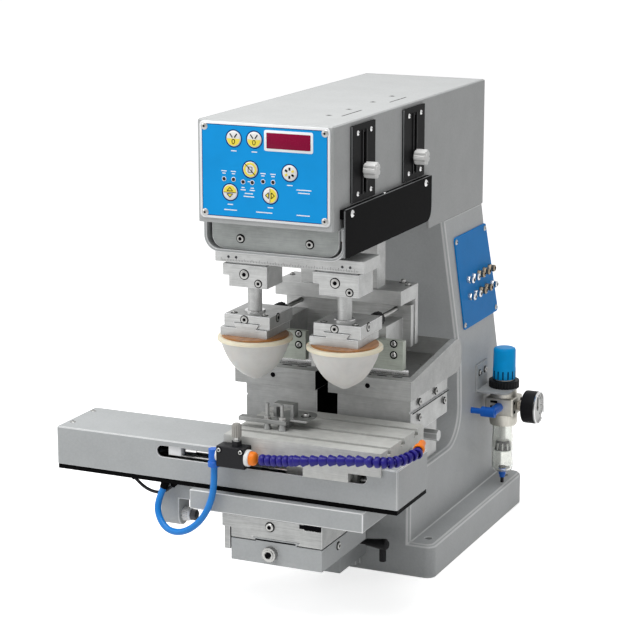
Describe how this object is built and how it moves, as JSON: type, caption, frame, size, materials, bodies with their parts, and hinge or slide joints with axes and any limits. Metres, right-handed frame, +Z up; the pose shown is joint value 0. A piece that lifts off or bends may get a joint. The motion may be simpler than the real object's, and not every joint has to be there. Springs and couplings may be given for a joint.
{
  "type": "pad printing machine",
  "caption": "Bench pad printing machine: carriage with soft pads over open ink trays, shuttle table with a jointed blower hose, adjustable knee and cross slides, button panel and air regulator.",
  "frame": {"origin": "centre of the base's footprint, on its underside", "axes": "+X to the right of someone facing the machine, +Y away from them to the back, +Z up"},
  "size_m": [0.4725, 0.5858, 0.6],
  "materials": {
    "grey_paint": "hammered silver-grey enamel",
    "blue_paint": "bright blue satin paint",
    "black_paint": "black satin paint",
    "white_plastic": "white moulded plastic",
    "yellow_plastic": "yellow moulded plastic",
    "black_plastic": "black moulded plastic",
    "red_window": "dark red pane",
    "machined_aluminium": "brushed, clear",
    "machined_steel": "ground steel",
    "polished_steel": "polished",
    "silicone": "pale soft silicone",
    "backing_wood": "varnished hardwood",
    "clear_bowl": "clear polycarbonate",
    "blue_plastic": "blue moulded plastic",
    "violet_plastic": "violet-blue moulded plastic",
    "orange_plastic": "orange moulded plastic",
    "blue_tube": "blue flexible air tube",
    "black_tube": "black cable sheath",
    "nickel": "nickel-plated"
  },
  "bodies": {
    "machine": {"base_casting": "grey_paint", "head_casing": "grey_paint", "control_panel": "blue_paint", "display_window": "red_window", "slot_plates": "black_paint", "side_cover": "black_paint", "valve_panel": "blue_paint", "push_fittings": "nickel", "carriage_drive": "machined_steel", "ink_trays": "polished_steel", "cliche_plates": "machined_steel", "pedestals": "machined_aluminium", "regulator_bracket": "machined_steel", "regulator_body": "machined_aluminium", "regulator_bowl": "clear_bowl", "pressure_gauge": "polished_steel", "air_fitting": "blue_plastic"},
    "front_stop": {"stroke_stop_front": "white_plastic"},
    "rear_stop": {"stroke_stop_rear": "white_plastic"},
    "pressure_knob": {"regulator_knob": "blue_plastic"},
    "needle": {"gauge_needle": "black_plastic"},
    "carriage": {"carriage_plate": "machined_aluminium", "nose_cover": "machined_aluminium", "pad_cylinder": "machined_aluminium", "crossbar": "machined_aluminium"},
    "doctor": {"doctor_plate": "machined_aluminium", "doctor_blades": "machined_steel"},
    "left_blade_knob": {"blade_knob_left": "machined_steel"},
    "right_blade_knob": {"blade_knob_right": "machined_steel"},
    "pad_lift": {"pad_lift_rods": "machined_steel", "holder_bar": "machined_aluminium", "pad_clamps": "machined_aluminium", "pad_holders": "machined_aluminium", "pad_plates": "machined_aluminium", "pad_backs": "backing_wood", "pad_left": "silicone", "pad_right": "silicone"},
    "knee": {"knee_slide": "grey_paint"},
    "knee_lever": {"clamp_lever": "black_plastic"},
    "depth_screw": {"y_screw": "machined_steel"},
    "saddle": {"saddle_top": "machined_aluminium"},
    "slab": {"work_plate": "grey_paint", "shuttle_cover": "grey_paint", "shuttle_base": "black_paint", "shuttle_drive": "machined_steel", "black_cable": "black_tube"},
    "stop_screw": {"x_stop_screw": "black_plastic"},
    "table": {"shuttle_table": "machined_aluminium", "jig": "machined_aluminium", "valve_block": "machined_aluminium", "hose_links": "violet_plastic", "air_hose": "blue_tube"},
    "air_knob": {"needle_knob": "black_plastic"},
    "spout": {"nozzle": "orange_plastic"},
    "pad_button_left_cap": {"pad_button_left": "white_plastic"},
    "pad_button_right_cap": {"pad_button_right": "white_plastic"},
    "mode_button_cap": {"mode_button": "yellow_plastic"},
    "cycle_button_cap": {"cycle_button": "white_plastic"},
    "lift_button_cap": {"lift_button": "yellow_plastic"},
    "shuttle_button_cap": {"shuttle_button": "white_plastic"}
  },
  "joints": [
    {"name": "carriage_stroke", "type": "slide", "parent": "machine", "child": "carriage", "axis": [0, 1, 0], "range_m": [0, 0.1]},
    {"name": "pad_stroke", "type": "slide", "parent": "carriage", "child": "pad_lift", "axis": [0, 0, 1], "range_m": [-0.019, 0.004]},
    {"name": "doctor_lift", "type": "slide", "parent": "carriage", "child": "doctor", "axis": [0, 0, 1], "range_m": [0, 0.0055]},
    {"name": "left_blade_knob_turn", "type": "hinge", "parent": "doctor", "child": "left_blade_knob", "pos_m": [-0.064, -0.24, 0.344], "axis": [0, 1, 0], "range_deg": [-180, 180]},
    {"name": "right_blade_knob_turn", "type": "hinge", "parent": "doctor", "child": "right_blade_knob", "pos_m": [0.064, -0.24, 0.344], "axis": [0, 1, 0], "range_deg": [-180, 180]},
    {"name": "front_stop_slide", "type": "slide", "parent": "machine", "child": "front_stop", "axis": [0, 0, 1], "range_m": [-0.02, 0.038]},
    {"name": "rear_stop_slide", "type": "slide", "parent": "machine", "child": "rear_stop", "axis": [0, 0, 1], "range_m": [-0.014, 0.045]},
    {"name": "pressure_knob_turn", "type": "hinge", "parent": "machine", "child": "pressure_knob", "pos_m": [0.112, 0.096, 0.21], "axis": [0, 0, 1], "range_deg": [-180, 180]},
    {"name": "needle_turn", "type": "hinge", "parent": "machine", "child": "needle", "pos_m": [0.16, 0.096, 0.16], "axis": [1, 0, 0], "range_deg": [-135, 135]},
    {"name": "knee_height", "type": "slide", "parent": "machine", "child": "knee", "axis": [0, 0, 1], "range_m": [-0.015, 0.01]},
    {"name": "knee_lever_turn", "type": "hinge", "parent": "knee", "child": "knee_lever", "pos_m": [0.04, -0.207, 0.05], "axis": [1, 0, 0], "range_deg": [-45, 45]},
    {"name": "depth_slide", "type": "slide", "parent": "knee", "child": "saddle", "axis": [0, 1, 0], "range_m": [-0.008, 0.008]},
    {"name": "depth_screw_turn", "type": "hinge", "parent": "knee", "child": "depth_screw", "pos_m": [-0.007, -0.39, 0.086], "axis": [0, 1, 0], "range_deg": [-1925, 1925]},
    {"name": "side_slide", "type": "slide", "parent": "saddle", "child": "slab", "axis": [1, 0, 0], "range_m": [-0.01, 0.01]},
    {"name": "stop_screw_turn", "type": "hinge", "parent": "slab", "child": "stop_screw", "pos_m": [-0.14, -0.348, 0.106], "axis": [1, 0, 0], "range_deg": [-180, 180]},
    {"name": "shuttle_stroke", "type": "slide", "parent": "slab", "child": "table", "axis": [1, 0, 0], "range_m": [-0.117, 0]},
    {"name": "air_knob_turn", "type": "hinge", "parent": "table", "child": "air_knob", "pos_m": [-0.046, -0.394, 0.23], "axis": [0, 0, 1], "range_deg": [-180, 180]},
    {"name": "spout_swivel", "type": "hinge", "parent": "table", "child": "spout", "pos_m": [0.166, -0.354, 0.226], "axis": [0, 0, 1], "range_deg": [-15, 15]},
    {"name": "pad_button_left_press", "type": "slide", "parent": "machine", "child": "pad_button_left_cap", "axis": [0, 1, 0], "range_m": [0, 0.0009], "stiffness_N_per_m": 2000},
    {"name": "pad_button_right_press", "type": "slide", "parent": "machine", "child": "pad_button_right_cap", "axis": [0, 1, 0], "range_m": [0, 0.0009], "stiffness_N_per_m": 2000},
    {"name": "mode_button_press", "type": "slide", "parent": "machine", "child": "mode_button_cap", "axis": [0, 1, 0], "range_m": [0, 0.0009], "stiffness_N_per_m": 2000},
    {"name": "cycle_button_press", "type": "slide", "parent": "machine", "child": "cycle_button_cap", "axis": [0, 1, 0], "range_m": [0, 0.0009], "stiffness_N_per_m": 2000},
    {"name": "lift_button_press", "type": "slide", "parent": "machine", "child": "lift_button_cap", "axis": [0, 1, 0], "range_m": [0, 0.0009], "stiffness_N_per_m": 2000},
    {"name": "shuttle_button_press", "type": "slide", "parent": "machine", "child": "shuttle_button_cap", "axis": [0, 1, 0], "range_m": [0, 0.0009], "stiffness_N_per_m": 2000}
  ],
  "couplings": [
    {"joint": "depth_screw_turn", "follows": "depth_slide", "rad_per_m": 4188.8}
  ]
}
